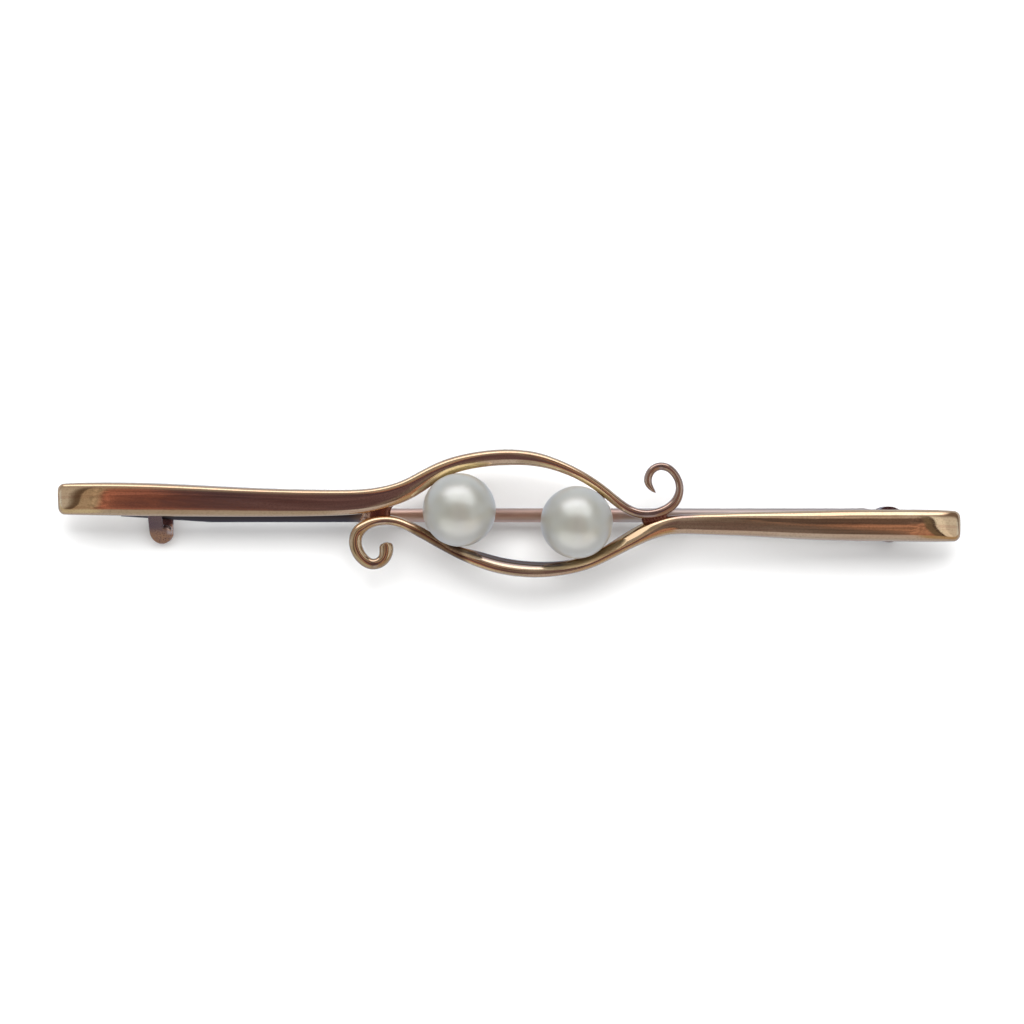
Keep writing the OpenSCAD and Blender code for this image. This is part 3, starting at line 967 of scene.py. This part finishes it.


# %% [markdown]
# ## Each piece rides on its body
# The gold work, the pearls and the rivet belong to the brooch's body, and the wire to the pin's.
# Together they stand for the CAD nodes, which are then hidden.

# %% Riding and replacing
for piece in frame_pieces:
    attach(piece, "brooch")
    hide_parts("bar_frame")
for side, piece in pearl_pieces.items():
    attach(piece, "brooch")
    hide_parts(f"{side}_pearl")
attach(rivet, "brooch")
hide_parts("hinge_rivet")
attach(pin_wire, "pin")
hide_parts("pin_stem")
print("riding on brooch", len(frame_pieces) + len(pearl_pieces) + 1)


# %% [markdown]
# ## The table and the light
# The brooch lies on a plain white table, which nothing mirrors. The table has lamps of its own.

# %% The table
def table_finish():
    material, shader, bench, place = new_finish("white_table")
    fleck = bench.noise(place, 0.05, 2.0)
    white = bench.mix(fleck, (0.86, 0.86, 0.86), (0.88, 0.88, 0.88))
    plug(bench, shader, Base_Color=white, Roughness=0.9, Specular_IOR_Level=0.1)
    return material


TABLE_HALF, TABLE_TOP, TABLE_FOOT = 600.0, -0.01, -2.0
table_shape = rectangle(TABLE_HALF, TABLE_HALF)
table = prism("table", table_shape, TABLE_FOOT, TABLE_TOP, table_finish())
table.data.shade_flat()
table.visible_glossy = False
print("table", table.name)


# %% [markdown]
# Polished metal shows little but what it mirrors, so the room is painted for it. A direction has
# two angles from straight up: to_window, towards +Y, and aside, towards +X. A bar's flat face
# mirrors the patch overhead, dark where the camera and the photographer are, its rolled end the
# bands at either side, and its long edges the window and the walls.

# %% The room that the metal mirrors
# Bands from the middle outwards: where each starts and is full, in degrees, and its colour.
RIGHT_BANDS = [
    (19.5, 21.0, (0.17, 0.14, 0.11)),
    (27.0, 28.0, (0.08, 0.06, 0.05)),
    (30.5, 31.5, (0.85, 0.88, 0.90)),
    (40.0, 46.0, (0.64, 0.66, 0.68)),
]
LEFT_BANDS = [
    (-8.0, -14.0, (0.40, 0.34, 0.28)),
    (-25.5, -26.5, (0.13, 0.10, 0.08)),
    (-30.0, -46.0, (0.50, 0.51, 0.52)),
]
RED_PATCH, WINDOW, SKY = (0.34, 0.15, 0.125), (2.0, 1.95, 2.1), (0.70, 0.85, 1.02)
BACKDROP = (0.93, 0.93, 0.93)


def walls(bench, x, y, to_window):
    """The low walls on the window's side and on the other."""
    low_wall = bench.mix(x.rise(-0.04, -0.015), (0.40, 0.40, 0.41), (0.52, 0.53, 0.62))
    low_wall = bench.mix(x.rise(-0.25, -0.12), (0.56, 0.58, 0.50), low_wall)
    low_wall = bench.mix(x.rise(0.12, 0.25), low_wall, (0.44, 0.36, 0.26))
    south = bench.mix(to_window.rise(-100, -60), (0.46, 0.50, 0.60), low_wall)
    north = bench.mix(x.rise(0.3, 0.5), (0.38, 0.37, 0.38), (0.20, 0.17, 0.16))
    north = bench.mix(to_window.rise(88, 100), north, (0.55, 0.62, 0.76))
    return bench.mix(y.rise(-0.05, 0.05), south, north)


def paint_room():
    room = bpy.data.worlds.new("room")
    bpy.context.scene.world = room
    room.use_nodes = True
    tree = room.node_tree
    bench = Bench(tree)
    way = bench.add("ShaderNodeTexCoord", out="Generated")
    x, y, z = way.parts()
    to_window = y.calc("ARCTAN2", z) * (180 / math.pi)
    aside = x.calc("ARCTAN2", z) * (180 / math.pi)
    across = aside * (1 + (0.0127 - 0.0067 * aside.rise(0.0, 5.0)) * to_window)
    left = bench.mix(across.rise(-4.4, -3.6), (0.075, 0.052, 0.08), (0.13, 0.085, 0.11))
    right = bench.mix(across.rise(3.4, 4.4), (0.21, 0.185, 0.20), (0.13, 0.11, 0.115))
    colour = bench.mix(across.rise(0.5, 2.0), left, right)
    warm = bench.mix(to_window.rise(28.0, 30.0), (0.42, 0.25, 0.20), (0.14, 0.10, 0.095))
    warm = bench.mix(to_window.rise(39.0, 42.0), warm, (0.57, 0.51, 0.52))
    colour = bench.mix(across.rise(5.9, 6.9), colour, warm)
    for start, full, tint in RIGHT_BANDS:
        colour = bench.mix(across.rise(start, full), colour, tint)
    colour = bench.mix(1 - aside.rise(-6.3, -5.5), colour, RED_PATCH)
    for start, full, tint in LEFT_BANDS:
        colour = bench.mix(1 - across.rise(full, start), colour, tint)
    streak_place = bench.add(
        "ShaderNodeCombineXYZ", {}, {"X": aside * 0.3, "Y": to_window * 0.2, "Z": 0.0}
    )
    reflection_streak = bench.noise(streak_place, 1.0, 4.0, 0.6, 0.4)
    off_middle = aside.calc("ABSOLUTE")
    strength = (0.5 + 0.4 * off_middle.rise(4.0, 6.0)) * (1 - off_middle.rise(14, 24))
    colour = colour * (1 + strength * (reflection_streak.rise(0.35, 0.65) - 0.5))
    overhead = bench.mix(off_middle.rise(60, 85), colour, SKY)
    darkest = 14.0 + 22.0 * across.rise(4.9, 5.9)
    wall_starts = (to_window - darkest) / (56.0 - darkest)
    inside = to_window.rise(-36, -24) * (1 - wall_starts.rise(0.0, 1.0))
    colour = bench.mix(inside, walls(bench, x, y, to_window), overhead)
    window = to_window.within(58, 81, 4) * x.within(-0.60, 0.36, 0.16)
    colour = bench.mix(window, colour, WINDOW)
    seen = bench.add("ShaderNodeLightPath", out="Is Camera Ray")
    colour = bench.mix(seen, colour, BACKDROP)
    tree.links.new(colour.socket, tree.nodes["Background"].inputs["Color"])
    room.cycles_visibility.diffuse = False
    print("room", room.name, len(tree.nodes), "nodes")


paint_room()


# %% [markdown]
# The lamps are large and soft. Four light only the table: the key on the +Y side gives the shadow
# below the bar, the left and the right one spread it, and the fill keeps the rest white. Three
# light only the pearls: a window for the bright spot, a low one for the -Y side and a fill. The
# metal shows the painted room alone.

# %% Lamps
def soft_light(name, place, size, power, only, mirrored=False, tint=(1, 1, 1)):
    """A soft box, aimed at the brooch, that lights only some things."""
    lamp = bpy.data.lights.new(name, "AREA")
    lamp.shape, lamp.size, lamp.size_y, lamp.energy = "RECTANGLE", *size, power
    lamp.color = tint
    made = bpy.data.objects.new(name, lamp)
    bpy.context.scene.collection.objects.link(made)
    made.location = place
    made.rotation_euler = (-Vector(place)).to_track_quat("-Z", "Y").to_euler()
    made.visible_glossy = mirrored
    made.visible_camera = False
    lit = bpy.data.collections.new(name + "_lights")
    for thing in only:
        lit.objects.link(thing)
    made.light_linking.receiver_collection = lit


pearls = list(pearl_pieces.values())
soft_light("table_key", (0.0, 0.28, 0.43), (0.30, 0.30), 1.90, [table])
soft_light("table_left", (-0.20, 0.25, 0.30), (0.24, 0.24), 0.42, [table])
soft_light("table_right", (0.22, 0.25, 0.30), (0.24, 0.24), 0.42, [table])
soft_light("table_fill", (0.0, 0.0, 0.60), (1.60, 1.60), 9.6, [table])
soft_light("pearl_window", (0.04, 0.44, 0.42), (1.00, 0.50), 3.0, pearls, True, (0.96, 1.0, 1.0))
soft_light("pearl_low", (0.0, -0.45, 0.22), (1.40, 0.50), 2.35, pearls, True)
soft_light("pearl_fill", (0.0, 0.05, 0.60), (0.80, 0.80), 0.6, pearls)
print("lamps", [lamp.name for lamp in bpy.data.lights])


# %% [markdown]
# ## The camera
# The picture was taken from straight above with a long lens, so the camera looks down from 240 mm.
# The lens makes the brooch 904 pixels long in a picture of 1024 by 1024.

# %% Camera
FACE_DISTANCE, PIXEL, PICTURE, SENSOR = 240.0, 60 / 904, 1024, 36.0
CENTRE_X, CENTRE_Y = 0.199, 0.166
lens_eye = bpy.data.cameras.new("camera")
camera = bpy.data.objects.new("camera", lens_eye)
bpy.context.scene.collection.objects.link(camera)
lens_eye.sensor_width = SENSOR
lens_eye.lens = SENSOR * FACE_DISTANCE / (PICTURE * PIXEL)
lens_eye.clip_start, lens_eye.clip_end = 0.01, 10.0
camera.location = (CENTRE_X * MM, CENTRE_Y * MM, (STRIP_TOP + FACE_DISTANCE) * MM)
bpy.context.scene.camera = camera
bpy.context.scene.view_settings.view_transform = "Standard"
print("lens", round(lens_eye.lens, 2), "mm")
